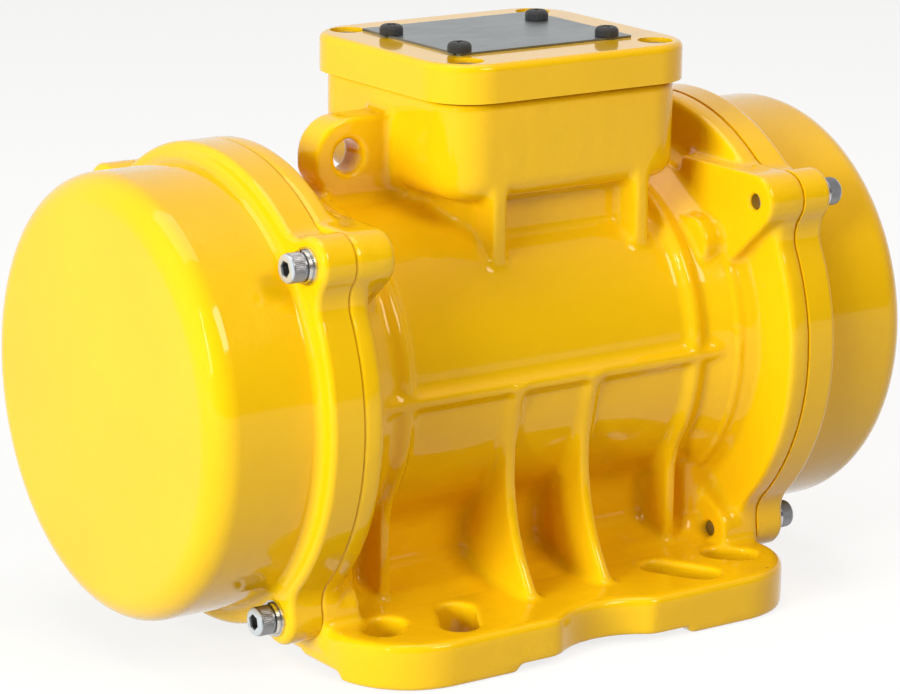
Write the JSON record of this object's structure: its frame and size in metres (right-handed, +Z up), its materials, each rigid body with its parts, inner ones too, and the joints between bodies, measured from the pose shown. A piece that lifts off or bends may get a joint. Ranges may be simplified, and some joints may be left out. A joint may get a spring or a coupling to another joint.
{
  "type": "vibration motor",
  "caption": "Foot-mounted vibration motor: ribbed cast body, round weight covers at both ends, terminal box with lid on top, lifting eye, slotted feet and turning unbalanced weights inside.",
  "frame": {"origin": "on the mounting plane of the feet, under the middle of the motor", "axes": "+X along the shaft, +Y across the feet towards the cable gland, +Z up from the feet through the terminal box"},
  "size_m": [0.2932, 0.1852, 0.2042],
  "materials": {
    "yellow_casting": "thick gloss yellow enamel on a smooth casting",
    "zinc_steel": "zinc-plated steel, lightly dulled",
    "black_screw": "black oxide, satin",
    "plate_metal": "brushed sheet, blank",
    "seal_rubber": "matt black nitrile",
    "gland_plastic": "grey moulded polyamide",
    "block_plastic": "dark moulded thermoset",
    "terminal_brass": "turned brass",
    "core_steel": "laminated electrical steel",
    "winding_copper": "varnished copper end turns",
    "cage_aluminium": "die-cast aluminium",
    "turned_steel": "ground steel",
    "bearing_steel": "polished bearing steel",
    "cast_iron_inside": "machined grey iron"
  },
  "bodies": {
    "motor_frame": {"bearing_flange_screws": "zinc_steel", "cable_gland_body": "gland_plastic", "cable_gland_nut": "gland_plastic", "cable_gland_seal": "seal_rubber", "cover_flat_washers": "zinc_steel", "cover_screws": "zinc_steel", "cover_spring_washers": "zinc_steel", "data_plate": "plate_metal", "earth_screw": "zinc_steel", "grease_cap_screws": "zinc_steel", "left_bearing_flange": "cast_iron_inside", "left_bearing_outer_ring": "bearing_steel", "left_cover_seal": "seal_rubber", "left_grease_cap": "cast_iron_inside", "left_weight_cover": "yellow_casting", "lid_gasket": "seal_rubber", "lid_screws": "zinc_steel", "motor_housing": "yellow_casting", "plate_screws": "black_screw", "right_bearing_flange": "cast_iron_inside", "right_bearing_outer_ring": "bearing_steel", "right_cover_seal": "seal_rubber", "right_grease_cap": "cast_iron_inside", "right_weight_cover": "yellow_casting", "stator_core": "core_steel", "stator_winding": "winding_copper", "terminal_block": "block_plastic", "terminal_box_lid": "yellow_casting", "terminal_nuts": "terminal_brass", "terminal_studs": "terminal_brass"},
    "rotor": {"left_bearing_inner_ring": "bearing_steel", "left_fixed_weight": "cast_iron_inside", "left_spacer": "turned_steel", "retaining_rings": "turned_steel", "right_bearing_inner_ring": "bearing_steel", "right_fixed_weight": "cast_iron_inside", "right_spacer": "turned_steel", "rotor_cage": "cage_aluminium", "rotor_core": "core_steel", "shaft": "turned_steel", "weight_keys": "turned_steel"},
    "left_setting_weight": {"left_adjustable_weight": "cast_iron_inside", "left_clamp_screw": "zinc_steel"},
    "left_ball_set": {"left_ball_cage": "bearing_steel", "left_bearing_balls": "bearing_steel"},
    "right_setting_weight": {"right_adjustable_weight": "cast_iron_inside", "right_clamp_screw": "zinc_steel"},
    "right_ball_set": {"right_ball_cage": "bearing_steel", "right_bearing_balls": "bearing_steel"}
  },
  "joints": [
    {"name": "rotor_spin", "type": "hinge", "parent": "motor_frame", "child": "rotor", "pos_m": [0, 0, 0.09], "axis": [1, 0, 0], "continuous": true},
    {"name": "left_weight_setting", "type": "hinge", "parent": "rotor", "child": "left_setting_weight", "pos_m": [-0.1206, 0, 0.09], "axis": [1, 0, 0], "range_deg": [0, 180]},
    {"name": "left_balls_orbit", "type": "hinge", "parent": "motor_frame", "child": "left_ball_set", "pos_m": [-0.0795, 0, 0.09], "axis": [1, 0, 0], "continuous": true},
    {"name": "right_weight_setting", "type": "hinge", "parent": "rotor", "child": "right_setting_weight", "pos_m": [0.1206, 0, 0.09], "axis": [1, 0, 0], "range_deg": [0, 180]},
    {"name": "right_balls_orbit", "type": "hinge", "parent": "motor_frame", "child": "right_ball_set", "pos_m": [0.0795, 0, 0.09], "axis": [1, 0, 0], "continuous": true}
  ],
  "couplings": [
    {"joint": "left_balls_orbit", "follows": "rotor_spin", "ratio": 0.3736},
    {"joint": "right_balls_orbit", "follows": "rotor_spin", "ratio": 0.3736}
  ]
}
